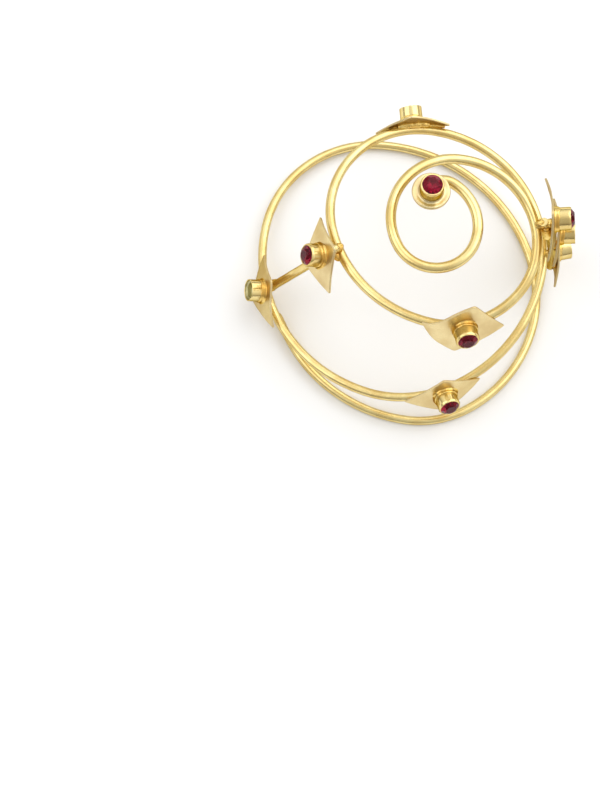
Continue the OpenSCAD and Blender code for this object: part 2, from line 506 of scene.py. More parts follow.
@dataclass(frozen=True)
class Garnet:
    """Red garnet, faceted and polished.

    It gives the eye a dark purple red that flashes crimson where light comes back through it.

    Attributes:
        body: Colour of the stone's body.
        veil: Colour of its denser places.
        mirror: Tint of what its facets mirror.
        veil_mm: Size of the denser places.
        refraction: Refractive index of pyrope to almandine garnet.
        roughness: Roughness of a polished facet.
        clear: Share of the light that goes into the stone.
        gloss: Strength of the mirror on its facets.
    """

    body: str = "#AE1030"
    veil: str = "#7E0A28"
    mirror: str = "#A07C81"
    veil_mm: float = 1.8
    refraction: float = 1.76
    roughness: float = 0.02
    clear: float = 0.85
    gloss: float = 0.13

    def build(self) -> Material:
        """Makes the material.

        Returns:
            The material with all its nodes.
        """
        material, tree = new_material("garnet_faceted")
        cloud = add_node(tree, "ShaderNodeTexNoise", {
            "Vector": add_node(tree, "ShaderNodeTexCoord").outputs["Object"],
            "Scale": 1 / (self.veil_mm * MM), "Detail": 2.0})
        colour = add_node(tree, "ShaderNodeValToRGB", {0: cloud},
                          stops=[(0.35, self.veil), (0.65, self.body)])
        shader = add_node(tree, "ShaderNodeBsdfPrincipled", {
            "Base Color": colour, "Roughness": self.roughness, "IOR": self.refraction,
            "Transmission Weight": self.clear, "Specular IOR Level": self.gloss,
            "Specular Tint": linear(self.mirror)})
        add_node(tree, "ShaderNodeOutputMaterial", {"Surface": shader})
        return material


@dataclass(frozen=True)
class PaperFloor:
    """Matt white paper sweep that the cage lies on.

    It gives the eye an even white ground with soft shadows and no shine.

    Attributes:
        colour: Colour of the paper.
        roughness: Roughness of the paper.
        size_m: Side of the square that is laid out.
    """

    colour: str = "#FAFAFA"
    roughness: float = 0.9
    size_m: float = 6.0

    def build(self) -> None:
        """Makes the floor."""
        half = self.size_m / 2
        mesh = bpy.data.meshes.new("paper_floor")
        mesh.from_pydata([(-half, -half, 0), (half, -half, 0), (half, half, 0),
                          (-half, half, 0)], [], [(0, 1, 2, 3)])
        material, tree = new_material("paper_matt")
        shader = add_node(tree, "ShaderNodeBsdfPrincipled", {
            "Base Color": linear(self.colour), "Roughness": self.roughness})
        add_node(tree, "ShaderNodeOutputMaterial", {"Surface": shader})
        mesh.materials.append(material)
        floor = show("paper_floor", mesh)


# The wire


@dataclass(frozen=True)
class Arc:
    """One arc of the bent wire.

    Attributes:
        radius: Bend radius in millimetres.
        angle: Bend angle in degrees.
    """

    radius: float
    angle: float


@dataclass(frozen=True)
class Spiral:
    """The rule of the wire's path, wound clockwise seen from above.

    Attributes:
        start: Place of the crown end.
        heading: Heading of the crown end in degrees.
        arcs: The bends in order.
        heights: Bend so far and height of the wire's centre.
        window: Bends over which the height is smoothed.
        d_crown: Diameter at the crown end.
        d_foot: Diameter from taper_end on.
        taper_end: Bend at which the taper ends.
    """

    start: Tuple[float, float] = (3.06, 8.68)
    heading: float = 29.4
    arcs: Tuple[Arc, ...] = tuple(Arc(r, a) for r, a in (
        (4.6, 62), (11.8, 77), (9.3, 67), (9.7, 67), (15.8, 122), (19.3, 68), (17.8, 60),
        (19.9, 60), (32.0, 65), (23.2, 109), (30.4, 96), (37.3, 54), (28.5, 41),
        (39.2, 86), (28.6, 80), (42.2, 72), (34.5, 77), (25.2, 35), (38.8, 65)))
    heights: Tuple[Tuple[float, float], ...] = (
        (62, 46.5), (202, 45.5), (292, 44.5), (382, 42), (472, 36.5), (562, 31),
        (652, 26.5), (742, 22), (832, 17.5), (922, 10.5), (982, 4.8), (1022, 3.2),
        (1072, 1.8), (1112, 1.05))
    window: Tuple[float, ...] = (-40, -20, 0, 20, 40)
    d_crown: float = 2.5
    d_foot: float = 2.1
    taper_end: float = 1112

    def course(self, bend: float) -> float:
        """Heading in degrees after a bend."""
        return self.heading - bend

    def height(self, bend: float) -> float:
        """Height of the wire's centre after a bend."""
        keys, values = zip(*self.heights)
        return float(np.mean([np.interp(bend + k, keys, values) for k in self.window]))

    def radius(self, bend: float) -> float:
        """Radius of the wire's section after a bend."""
        share = min(1.0, bend / self.taper_end)
        return (self.d_crown + (self.d_foot - self.d_crown) * share) / 2

    def point(self, bend: float) -> np.ndarray:
        """Place of the wire's centre after a bend.

        Args:
            bend: Bend so far in degrees.

        Returns:
            The point in millimetres.
        """
        x, y = self.start
        done = 0.0
        for arc in self.arcs:
            part = min(arc.angle, max(0.0, bend - done))
            a, b = math.radians(self.course(done)), math.radians(self.course(done + part))
            x += arc.radius * (math.sin(a) - math.sin(b))
            y += arc.radius * (math.cos(b) - math.cos(a))
            done += arc.angle
            if bend <= done:
                break
        return np.array([x, y, self.height(bend)])

    def nearest(self, spot: Sequence[float]) -> np.ndarray:
        """Finds the place on the wire's centre line that is nearest to a spot.

        Args:
            spot: Any place in millimetres.

        Returns:
            The point in millimetres.
        """
        total = sum(arc.angle for arc in self.arcs)
        line = np.array([self.point(b) for b in np.arange(0, total, 1.0)])
        return line[np.linalg.norm(line - np.array(spot), axis=1).argmin()]

    def bends(self, step: float) -> List[float]:
        """Bends spaced by a length of wire.

        Args:
            step: Length between two of them in millimetres.

        Returns:
            The bends from the crown end to the foot end.
        """
        found, done = [], 0.0
        for arc in self.arcs:
            parts = max(1, math.ceil(arc.radius * math.radians(arc.angle) / step))
            found += [done + arc.angle * k / parts for k in range(parts)]
            done += arc.angle
        return found + [done]


@dataclass
class WoundWire:
    """The single wire that makes the cage.

    Attributes:
        spiral: Rule of its path.
        finish: Drawn gilt finish.
        scarf: Length over which the foot end is filed down, in millimetres.
        filed: Share of the radius that is left at the foot end.
        step: Spacing of its rings.
        sides: Points round its section.
        dome: Rings of the rounded ends.
        dome_out: Length of a rounded end, as a share of the radius.
        tip: Radius of the last ring.
        middle_radius: Radius that the marks round the wire are spaced for.
        beat: Depth of the unevenness left by bending and beating, in millimetres.
        beat_size: Size of that unevenness.
        nodes: Solids that it stands for.
    """

    spiral: Spiral
    finish: Material
    scarf: float = 5.0
    filed: float = 0.5
    step: float = 0.45
    sides: int = 28
    dome: int = 6
    dome_out: float = 0.8
    tip: float = 0.02
    middle_radius: float = 1.15
    beat: float = 0.05
    beat_size: float = 2.6
    nodes: Tuple[str, ...] = ("crown_curl", "upper_turn", "lower_turn", "foot_turn")

    def line(self) -> bpy.types.Object:
        """Makes the centre line, with the section's radius on each point.

        Returns:
            An object of edges alone.
        """
        bends = self.spiral.bends(self.step)
        points = [self.spiral.point(b) for b in bends]
        radii = [self.spiral.radius(b) for b in bends]
        gone = 0.0
        for i in range(len(points) - 1, 0, -1):
            radii[i] *= self.filed + (1 - self.filed) * math.sqrt(min(1.0, gone / self.scarf))
            gone += float(np.linalg.norm(points[i] - points[i - 1]))
        caps = []
        for end, inner in ((0, 1), (-1, -2)):
            out, r = unit(points[end] - points[inner]), radii[end]
            turns = [QUARTER * k / self.dome for k in range(1, self.dome + 1)]
            caps.append([(points[end] + out * r * self.dome_out * math.sin(a),
                          max(r * math.cos(a), self.tip)) for a in turns])
        stations = caps[0][::-1] + list(zip(points, radii)) + caps[1]
        mesh = bpy.data.meshes.new("wire_line")
        mesh.from_pydata([tuple(p * MM) for p, _ in stations],
                         [(i, i + 1) for i in range(len(stations) - 1)], [])
        sizes = mesh.attributes.new("section", "FLOAT", "POINT")
        sizes.data.foreach_set("value", [r * MM for _, r in stations])
        return show("wound_wire", mesh)

    def tree(self) -> Tree:
        """Builds the tree that sweeps the section along the line.

        Returns:
            The geometry node tree.
        """
        tree, given = open_tree("wire_sweep", {
            "Line": "Geometry", "Sides": "Int", "Beat depth": "Float", "Beat size": "Float",
            "Finish": "Material"})
        section = add_node(tree, "GeometryNodeInputNamedAttribute", {"Name": "section"},
                           data_type="FLOAT").outputs["Attribute"]
        curve = add_node(tree, "GeometryNodeMeshToCurve", {"Mesh": given["Line"]})
        curve = add_node(tree, "GeometryNodeSetCurveRadius", {"Curve": curve, "Radius": section})
        curve = add_node(tree, "GeometryNodeSetCurveNormal", {"Curve": curve})
        circle = add_node(tree, "GeometryNodeCurvePrimitiveCircle", {
            "Resolution": given["Sides"], "Radius": 1.0})
        spline = add_node(tree, "GeometryNodeSplineParameter").outputs
        curve = add_node(tree, "GeometryNodeCaptureAttribute", {
            "Geometry": curve, "Length": spline["Length"]}, keeps=("Length",))
        circle = add_node(tree, "GeometryNodeCaptureAttribute", {
            "Geometry": circle, "Turn": spline["Factor"]}, keeps=("Turn",))
        sweep = add_node(tree, "GeometryNodeCurveToMesh", {
            "Curve": curve, "Profile Curve": circle, "Fill Caps": True})
        if "Scale" in sweep.inputs:
            tree.links.new(section, sweep.inputs["Scale"])
        girth = add_node(tree, "ShaderNodeMath", {
            0: circle.outputs["Turn"], 1: 2 * math.pi * self.middle_radius * MM},
            operation="MULTIPLY")
        spot = add_node(tree, "ShaderNodeCombineXYZ", {
            "X": curve.outputs["Length"], "Y": girth})
        mapped = add_node(tree, "GeometryNodeStoreNamedAttribute", {
            "Geometry": sweep, "Name": "UVMap", "Value": spot},
            data_type="FLOAT2", domain="CORNER")
        fineness = add_node(tree, "ShaderNodeMath", {0: 1.0, 1: given["Beat size"]},
                            operation="DIVIDE")
        close_tree(tree, mapped, {"Scale": fineness, "Detail": 1.0}, given["Beat depth"],
                   given["Finish"])
        return tree

    def build(self) -> None:
        """Sweeps the wire and hands it over."""
        line = self.line()
        grow(line, self.tree(), {"Sides": self.sides, "Beat depth": self.beat * MM,
                                 "Beat size": self.beat_size * MM, "Finish": self.finish})
        hand_over(line, GILT_SLOT, *self.nodes)


# Leaves and cups


@dataclass(frozen=True)
class LeafPlan:
    """How one leaf is cut, bent and put on the cage, in millimetres and degrees.

    Attributes:
        name: Name of its solid.
        bend: Bend of the wire where it sits.
        rise: Rise of its normal above level.
        roll: Turn of the lozenge on the wire.
        off: Clearance off the wire.
        up: Shift up the slope.
        yaw: Turn about the upright.
        long: Long diagonal.
        short: Short diagonal.
        bow: Radius that the sheet is bent to.
        sink: Depth of the stone's girdle below the cup's rim.
        leg_x: Place along the leaf of the leg of solder that reaches a rod.
        leg: Length of that leg, 0 where the leaf sits on the wire itself.
        stone: Name of its stone's solid, or None for an empty cup.
        spin: Turn of the stone in its cup.
        seam: Half the length of the seam of solder along the wire.
        belly: How far the half of the leaf at its near tip bulges outwards.
        climb: How far the solder ran up the back of the leaf, 0 for not at all.
        reach: How much further the seam runs towards the near tip.
        swell: How much fuller the lower edge is cut at the near tip.
    """

    name: str
    bend: float
    rise: float
    roll: float
    off: float
    up: float
    yaw: float
    long: float
    short: float
    bow: float
    sink: float
    leg_x: float
    leg: float
    stone: Optional[str]
    spin: float
    seam: float = 2.3
    belly: float = 0.0
    climb: float = 0.0
    reach: float = 0.0
    swell: float = 0.0

    def matrix(self, spiral: Spiral) -> np.ndarray:
        """Frame of the leaf's crest: x along the wire, y up the slope, z outwards.

        Args:
            spiral: Rule of the wire that it sits on.

        Returns:
            A 4 by 4 matrix in millimetres.
        """
        course = math.radians(spiral.course(self.bend) + self.yaw)
        along = np.array([math.cos(course), math.sin(course), 0])
        outward = np.array([-math.sin(course), math.cos(course), 0])
        upward = np.array([0, 0, 1])
        rise = math.radians(self.rise)
        normal = outward * math.cos(rise) + upward * math.sin(rise)
        slope = upward * math.cos(rise) - outward * math.sin(rise)
        crest = (spiral.point(self.bend) + slope * self.up
                 + normal * (spiral.radius(self.bend) + self.off))
        placed = np.eye(4)
        placed[:3] = np.c_[-along, slope, normal, crest]
        return placed


LEAVES: Tuple[LeafPlan, ...] = (
    LeafPlan("leaf_crown_left", 636, 32, -9, 3.6, -1.6, -12, 18.6, 12.8, 28, 0, -0.7, 1.2,
             "garnet_crown_left", 10),
    LeafPlan("leaf_crown_front", 564, 23, -18, 0.8, 0.9, 4, 20.7, 15, 28, 0, 0, 0,
             "garnet_crown_front", 31, belly=1.3, swell=0.75),
    LeafPlan("leaf_crown_back", 743, 10, -5.6, 0.3, 0.3, -0.5, 18.5, 13, 27, 0.95, 0, 0,
             "garnet_crown_back", 5, 5.4, climb=0.95, reach=2.4),
    LeafPlan("leaf_crown_right", 463, 12, 7, 3.4, 0.4, -17.4, 20, 13, 28, 0, -0.9, 0.8,
             "garnet_crown_right", 22),
    LeafPlan("leaf_lower_left", 1004, 24, 4, 1.1, 2.3, -10, 19.7, 11.9, 28, 0, 0, 0,
             None, 0),
    LeafPlan("leaf_lower_front", 912, 21, 0, 0.9, 1, 0, 19.3, 12, 28, 0, 0, 0,
             "garnet_lower_front", 17),
    LeafPlan("leaf_lower_right", 834, 9, 5, 2.8, 5.9, -7.8, 17.2, 13, 27, 0.95, -3.1, 0.4,
             "garnet_lower_right", 40),
    LeafPlan("leaf_foot_right", 1186, 0, 0, 3.65, 7.2, -2.6, 19, 12.4, 22, 0.95, -3.45, 0.35,
             "garnet_foot_right", 13),
)


@dataclass
class Cup:
    """A round cup: a strip of sheet bent round and soldered down.

    Attributes:
        outer: Outer diameter.
        wall: Thickness of its wall.
        height: Height above what it stands on.
        foot: Depth that it goes into what it stands on.
        seat: Depth of the ledge that the stone rests on, below the rim.
        floor: Depth of the floor below the rim.
        ledge: Inner radius below the ledge.
        bevel: Roundness of the rim, as a share of the wall.
        grip: How far the rim is rubbed over the stone, 0 for an empty cup.
        oval: How far it is out of round, in millimetres.
        lobes: The same for a three-sided unevenness at the rim.
        groove: Depth of the seam where the strip's ends meet.
        nicks: Number of nicks in the rim.
        steps: Points round it.
        seed: Picks its dents.
        inside: Number of points of the profile that lie within the cup, set by profile().
    """

    outer: float = 5.5
    wall: float = 0.3
    height: float = 3.6
    foot: float = 0.3
    seat: float = 0.5
    floor: float = 2.5
    ledge: float = 1.95
    bevel: float = 0.42
    grip: float = 0.2
    oval: float = 0.035
    lobes: float = 0.02
    groove: float = 0.05
    nicks: int = 4
    steps: int = 96
    seed: int = 0
    inside: int = 0

    def profile(self) -> List[Tuple[float, float]]:
        """Section of the cup from the middle of its floor to the middle of its foot.

        Returns:
            Radius and height of each point.
        """
        r, w, h = self.outer / 2, self.wall, self.height
        edge, inner, over = w * self.bevel, r - w, self.grip * 0.6
        turns = np.linspace(0, QUARTER, 4)
        lip = [(inner + edge - edge * math.cos(a) - self.grip,
                h - edge + over + edge * math.sin(a)) for a in turns]
        lip += [(r - edge + edge * math.sin(a) - over, h - edge + over + edge * math.cos(a))
                for a in turns]
        deep, top = h - self.floor, h - self.seat
        walls_in = [(self.ledge * 0.5, deep), (self.ledge - 0.12, deep),
                    (self.ledge, deep + 0.12)]
        walls_in += [(self.ledge, z) for z in np.linspace(deep + 0.3, top - 0.08, 4)]
        walls_in += [(self.ledge + 0.08, top), (inner - 0.06, top), (inner, top + 0.06),
                     (inner, h - edge - 0.05)]
        walls_out = [(r, z) for z in np.linspace(h - edge - 0.12, -self.foot, 12)]
        self.inside = 1 + len(walls_in)
        return [(0, deep)] + walls_in + lip + walls_out + [(0, -self.foot)]

    def dent(self, points: np.ndarray) -> np.ndarray:
        """Gives the cup its hand-made shape: out of round, nicked at the rim, and a seam.

        Args:
            points: Points of the turned cup.

        Returns:
            The moved points.
        """
        moved = points.copy()
        angle = np.arctan2(points[:, 1], points[:, 0])
        radius = np.hypot(points[:, 0], points[:, 1])
        level = np.clip(points[:, 2] / self.height, 0, 1)
        rng = np.random.default_rng(self.seed + 40)
        squash = self.oval * np.cos(2 * (angle - rng.uniform(0, math.pi)))
        squash += self.lobes * np.cos(3 * (angle - rng.uniform(0, math.pi))) * level
        away = wrapped(angle - rng.uniform(-math.pi, math.pi))
        outside = radius > self.outer / 2 - 0.1
        squash -= self.groove * np.exp(-(away / 0.035) ** 2) * outside
        share = np.where(radius > 0.3, squash / np.maximum(radius, 0.3), 0)
        moved[:, :2] *= (1 + share * (radius > self.outer / 2 - self.wall - 0.05))[:, None]
        for _ in range(self.nicks):
            at = rng.uniform(-math.pi, math.pi)
            wide, deep = rng.uniform(0.05, 0.12), rng.uniform(0.03, 0.1)
            near = np.exp(-(wrapped(angle - at) / wide) ** 2)
            moved[:, 2] -= near * deep * (level > 0.9)
        moved[:, 2] += 0.02 * np.cos(angle * 2 + rng.uniform(0, 6)) * level ** 4
        return moved

    def turn(self, draft: Draft, finish: int, lift: float) -> None:
        """Adds the cup, standing on a height, to a mesh."""
        draft.lathe(self.profile(), self.steps, finish,
                    lambda p: self.dent(p) + np.array([0, 0, lift]))


@dataclass
class LeafMaker:
    """Makes a bent lozenge leaf with its cup.

    Attributes:
        spiral: Rule of the wire.
        finishes: Finish of the leaf, of its cup, of the solder, and of an empty cup's inside.
        thick: Thickness of the sheet.
        edge: Radius of its filed edges.
        tip: Half the width of its tips.
        blunt: How much its side corners are rounded, as a share of half its length.
        full: What the rounded share comes to at the tips, which brings it back to one.
        ripple: Height of its unevenness.
        rows: Sections along it.
        across: Points across it.
        solder_d: Diameter of a leg of solder.
        steps: Points round the collar.
        swings: Middle, and size and number of the waves round the collar, of its height,
            its width and its spill over the leaf.
        collar: Shares of width, spill and height at each ring of the collar.
    """

    spiral: Spiral
    finishes: Tuple[Material, ...]
    thick: float = 0.5
    edge: float = 0.14
    tip: float = 0.15
    blunt: float = 0.04
    full: float = 0.9608
    ripple: float = 0.05
    rows: int = 72
    across: int = 18
    solder_d: float = 1.8
    steps: int = 96
    swings: Tuple[Tuple[float, ...], ...] = (
        (1.12, 0.09, 2, 0.05, 7), (0.27, 0.05, 3, 0.025, 9), (0.34, 0.16, 1, 0.08, 5))
    collar: Tuple[Point, ...] = (
        (1.0, 1.0, -0.06), (1.0, 0.62, 0.05), (1.0, 0.25, 0.16), (0.98, 0.0, 0.4),
        (0.9, 0.0, 0.62), (0.86, 0.0, 0.8), (0.74, 0.0, 0.92), (0.48, 0.0, 1.0),
        (0.12, 0.0, 1.04), (-0.6, 0.0, 0.97), (-0.6, 0.0, -0.15))

    def crest(self, x: np.ndarray, bow: float) -> np.ndarray:
        """Height of the outer face at a place along the leaf."""
        return self.thick - bow + np.sqrt(bow ** 2 - x ** 2)

    def outline(self, wide: float) -> np.ndarray:
        """Section across the sheet, with rounded edges.

        Args:
            wide: Half the width there.

        Returns:
            Place across and height above the outer face, as rows.
        """
        flat, edge = np.linspace(-1, 1, self.across) * (wide - self.edge), self.edge
        side = [(wide - edge + edge * math.sin(a), -edge + edge * math.cos(a))
                for a in (math.pi / 6, math.pi / 3, QUARTER)]
        return np.array(
            [(v, 0.0) for v in flat] + side
            + [(v, -self.thick - d) for v, d in reversed(side)]
            + [(v, -self.thick) for v in flat[::-1]]
            + [(-v, -self.thick - d) for v, d in side] + [(-v, d) for v, d in reversed(side)])

    def plate(self, draft: Draft, plan: LeafPlan, seed: int) -> None:
        """Adds the bent sheet: a lozenge with filed edges.

        Args:
            draft: Mesh that it goes in.
            plan: How the leaf is cut.
            seed: Picks its small unevenness.
        """
        half_long, roll = plan.long / 2, math.radians(plan.roll)
        rings = []
        for s in np.sin(np.linspace(-QUARTER, QUARTER, self.rows + 1)):
            narrow = (math.sqrt(s * s + self.blunt ** 2) - self.blunt) / self.full
            wide = plan.short / 2 * (1 - narrow) + self.tip
            u = s * half_long
            v, deep = self.outline(wide).T
            if s < 0:
                v = np.where(v < 0, v * (1 + 6.75 * plan.swell * s * s * (1 + s) / wide), v)
            x = u * math.cos(roll) - v * math.sin(roll)
            y = u * math.sin(roll) + v * math.cos(roll)
            slant = x / plan.bow
            near = np.clip(-x / half_long, 0, 1)
            wave = self.ripple * wobble(np.c_[x, y], 9.0, seed)
            wave += 4 * plan.belly * near ** 2 * (1 - near ** 2)
            rings.append(np.c_[x + slant * deep, y, self.crest(x, plan.bow)
                               + deep * np.sqrt(1 - slant ** 2) + wave])
        draft.loft(rings)

    def foot_solder(self, draft: Draft, plan: LeafPlan, cup: Cup) -> None:
        """Adds the collar that the cup stands in: a thick uneven ring of solder.

        Args:
            draft: Mesh that it goes in.
            plan: How the leaf is cut.
            cup: The cup that stands on it.
        """
        angles = around(self.steps)
        rng = np.random.default_rng(cup.seed + 7)
        tall, wide, spill = (
            middle + size * np.sin(angles * count + rng.uniform(0, 6))
            + small * np.sin(angles * more + rng.uniform(0, 6))
            for middle, size, count, small, more in self.swings)
        rings = []
        for out, flat, lift in self.collar:
            reach = cup.outer / 2 + wide * out + spill * flat
            x, y = reach * np.cos(angles), reach * np.sin(angles)
            rings.append(np.c_[x, y, self.crest(x, plan.bow) + tall * lift])
        n = len(rings)
        faces = [face for i in range(n) for face in band(i, (i + 1) % n, self.steps)]
        draft.add(np.vstack(rings), faces, 2)

    def leg(self, draft: Draft, plan: LeafPlan) -> None:
        """Adds the leg of solder under the leaf.

        Args:
            draft: Mesh that it goes in.
            plan: How the leaf is put on the cage.
        """
        r, z = self.solder_d / 2, -plan.leg
        profile = [(0, self.thick / 2), (r * 1.2, self.thick / 2), (r * 1.15, -0.08),
                   (r, -0.2), (r, z), (0, z)]
        draft.lathe(profile, 32, 2, lambda p: p + np.array([plan.leg_x, 0, 0]))

    def build(self, plan: LeafPlan, seed: int) -> None:
        """Makes one leaf and hands it over.

        Args:
            plan: How it is cut and placed.
            seed: Picks its small faults.
        """
        draft = Draft()
        self.plate(draft, plan, seed)
        cup = Cup(seed=seed, seat=plan.sink + 0.5, floor=min(plan.sink + 2.5, 3.5))
        if plan.stone is None:
            cup.floor = 1.9
        if plan.stone is None or plan.sink:
            cup.grip = 0.0
        first = len(draft.finishes)
        cup.turn(draft, 1, self.thick)
        if plan.stone is None:
            bare = (cup.inside - 1) * cup.steps
            draft.finishes[first:first + bare] = [3] * bare
            draft.finishes[-2 * cup.steps::2] = [3] * cup.steps
        self.foot_solder(draft, plan, cup)
        if plan.leg:
            self.leg(draft, plan)
        draft.place(plan.matrix(self.spiral))
        hand_over(draft.piece(f"{plan.name}_dressed", self.finishes), GILT_SLOT, plan.name)


# Stones


@dataclass
class StoneCutter:
    """Cuts round stones facet by facet, as on a lap.

    Attributes:
        finish: Garnet.
        diameter: Diameter at the girdle.
        table: Share of the diameter that the table takes.
        crown: Height of the table above the girdle.
        pavilion: Depth of the point below the girdle.
        girdle: Half the height of the girdle at the mains.
        girdle_half: The same at the halves.
        rim: Share of the radius that the halves start from.
        star_tilt: Tilt of the stars, as a share of that of the crown's mains.
        upper_tilt: The same for the upper halves.
        lower_tilt: Tilt of the lower halves, as a share of that of the pavilion's mains.
    """

    finish: Material
    diameter: float = 4.8
    table: float = 0.56
    crown: float = 0.9
    pavilion: float = 2.0
    girdle: float = 0.06
    girdle_half: float = 0.05
    rim: float = 0.999
    star_tilt: float = 0.62
    upper_tilt: float = 1.2
    lower_tilt: float = 1.08

    def facets(self) -> List[Tuple[np.ndarray, float]]:
        """Planes of all facets, as a normal and its distance from the girdle's centre.

        Returns:
            The planes of table, kites, stars, upper and lower halves and mains.
        """
        r = self.diameter / 2
        slope = math.atan2(self.crown - self.girdle, r - r * self.table)
        main = math.atan2(self.pavilion, r)
        planes = [(np.array([0.0, 0.0, 1.0]), self.crown)]

        def plane(turn: float, tilt: float, far: float, level: float) -> None:
            """Adds a facet.

            Args:
                turn: Way that it faces, in degrees about the stone's axis.
                tilt: Its tilt off level in radians, negative below the girdle.
                far: Distance of a point on it from the axis.
                level: Height of that point.
            """
            a = math.radians(turn)
            normal = np.array([math.cos(a) * math.sin(abs(tilt)),
                               math.sin(a) * math.sin(abs(tilt)),
                               math.copysign(math.cos(tilt), tilt)])
            through = np.array([far * math.cos(a), far * math.sin(a), level])
            planes.append((normal, float(normal @ through)))

        for turn in np.arange(0.0, 360.0, 45.0):
            plane(turn, slope, r, self.girdle)
            plane(turn, -main, r, -self.girdle)
            plane(turn + 22.5, slope * self.star_tilt,
                  r * self.table * math.cos(math.radians(22.5)), self.crown)
            for side in (turn - 11.25, turn + 11.25):
                plane(side, slope * self.upper_tilt, r * self.rim, self.girdle_half)
                plane(side, -main * self.lower_tilt, r * self.rim, -self.girdle_half)
        return planes

    def build(self, name: str, matrix: np.ndarray, spin: float) -> None:
        """Cuts one stone and hands it over.

        Args:
            name: Name of its solid.
            matrix: Frame of its seat, with z out of the cup, in millimetres.
            spin: Turn about its own axis in degrees.
        """
        stone = bmesh.new()
        bmesh.ops.create_cone(stone, cap_ends=True, cap_tris=False, segments=64,
                              radius1=self.diameter / 2, radius2=self.diameter / 2,
                              depth=2 * (self.crown + self.pavilion + 0.5))
        for normal, far in self.facets():
            cut = bmesh.ops.bisect_plane(
                stone, geom=stone.verts[:] + stone.edges[:] + stone.faces[:], dist=1e-5,
                plane_co=Vector(normal * far), plane_no=Vector(normal), clear_outer=True)
            edges = [e for e in cut["geom_cut"] if isinstance(e, bmesh.types.BMEdge)]
            if edges:
                bmesh.ops.edgeloop_fill(stone, edges=edges)
        bmesh.ops.remove_doubles(stone, verts=stone.verts, dist=1e-4)
        bmesh.ops.recalc_face_normals(stone, faces=stone.faces)
        seat = Matrix([list(row) for row in matrix]) @ Matrix.Rotation(
            math.radians(spin), 4, "Z")
        bmesh.ops.transform(stone, matrix=Matrix.Scale(MM, 4) @ seat, verts=stone.verts)
        mesh = bpy.data.meshes.new(name)
        stone.to_mesh(mesh)
        stone.free()
        mesh.materials.append(self.finish)
        hand_over(show(f"{name}_cut", mesh), GARNET_SLOT, name)


# Rods


@dataclass
class Rods:
    """The straight strut on the left and the bowed post on the right.

    Attributes:
        finish: Drawn gilt finish.
        diameter: Diameter of both.
        strut: Foot and top of the strut's centre line.
        strut_ends: Length of the strut's domes, as a share of the radius.
        post_y: Plane of the post.
        post_foot: Foot of the post, x and z.
        post_top: Top of the post, x and z.
        post_bow: Radius of its bow.
        post_ends: Length of the post's domes, as a share of the radius.
        sides: Points round a rod.
        first_turn: Angle of the first ring of a dome, in radians.
    """

    finish: Material
    diameter: float = 2.1
    strut: Tuple[Point, Point] = ((-34.25, -2.85, 5.4), (-19.0, -1.45, 29.8))
    strut_ends: Tuple[float, float] = (0.3, 0.9)
    post_y: float = 1.9
    post_foot: Tuple[float, float] = (35.7, 7.0)
    post_top: Tuple[float, float] = (29.45, 39.0)
    post_bow: float = 128.0
    post_ends: Tuple[float, float] = (0.1, 0.1)
    sides: int = 28
    first_turn: float = 0.12

    def post_line(self, steps: int = 60) -> np.ndarray:
        """Centre line of the post from foot to top.

        Args:
            steps: Number of parts.

        Returns:
            Points as rows.
        """
        foot, top = np.array(self.post_foot), np.array(self.post_top)
        chord = top - foot
        length = np.linalg.norm(chord)
        out = np.array([chord[1], -chord[0]]) / length
        centre = (foot + top) / 2 - out * math.sqrt(self.post_bow ** 2 - length ** 2 / 4)
        a = math.atan2(foot[1] - centre[1], foot[0] - centre[0])
        b = math.atan2(top[1] - centre[1], top[0] - centre[0])
        t = np.linspace(a, b, steps + 1)
        return np.c_[centre[0] + self.post_bow * np.cos(t), np.full(steps + 1, self.post_y),
                     centre[1] + self.post_bow * np.sin(t)]

    def tube(self, line: np.ndarray, ends: Tuple[float, float], seed: int) -> Draft:
        """Sweeps a round section along a line.

        Args:
            line: Centre line as rows.
            ends: Length of the domes at the first and the last point, as a share of the radius.
            seed: Picks the unevenness.

        Returns:
            The tube's mesh.
        """
        r = self.diameter / 2
        first, last = unit(line[1] - line[0]), unit(line[-1] - line[-2])
        turns = np.linspace(self.first_turn, QUARTER, 6)[:-1]
        stations = [(line[0] - first * r * ends[0] * math.cos(a), r * math.sin(a), first)
                    for a in turns]
        stations += [(p, r, unit(way)) for p, way in zip(line, np.gradient(line, axis=0))]
        stations += [(line[-1] + last * r * ends[1] * math.cos(a), r * math.sin(a), last)
                     for a in turns[::-1]]
        draft, rings, angles = Draft(), [], around(self.sides)
        for centre, radius, way in stations:
            side = unit(np.cross(way, [0, 1, 0]))
            over = np.cross(way, side)
            ring = centre + radius * (np.cos(angles)[:, None] * side
                                      + np.sin(angles)[:, None] * over)
            ring += (ring - centre) * 0.025 * wobble(ring, 2.4, seed)[:, None]
            rings.append(ring)
        draft.loft(rings)
        return draft

    def build(self) -> None:
        """Makes both rods and hands them over."""
        low, high = (np.array(p) for p in self.strut)
        line = low + np.linspace(0, 1, 50)[:, None] * (high - low)
        strut = self.tube(line, self.strut_ends, 3).piece("strut_drawn", (self.finish,))
        post = self.tube(self.post_line(), self.post_ends, 5).piece("post_bowed",
                                                                    (self.finish,))
        hand_over(strut, GILT_SLOT, "left_strut")
        hand_over(post, GILT_SLOT, "right_post")


# Solder


@dataclass(frozen=True)
class Lump:
    """One lump of solder, a chain of beads that run together.

    Attributes:
        where: What it joins.
        path: Place and radius, x, y, z and r, of each corner of the chain. A single corner
            is joined to the nearest place on the wire.
    """

    where: str
    path: Tuple[Bead, ...]


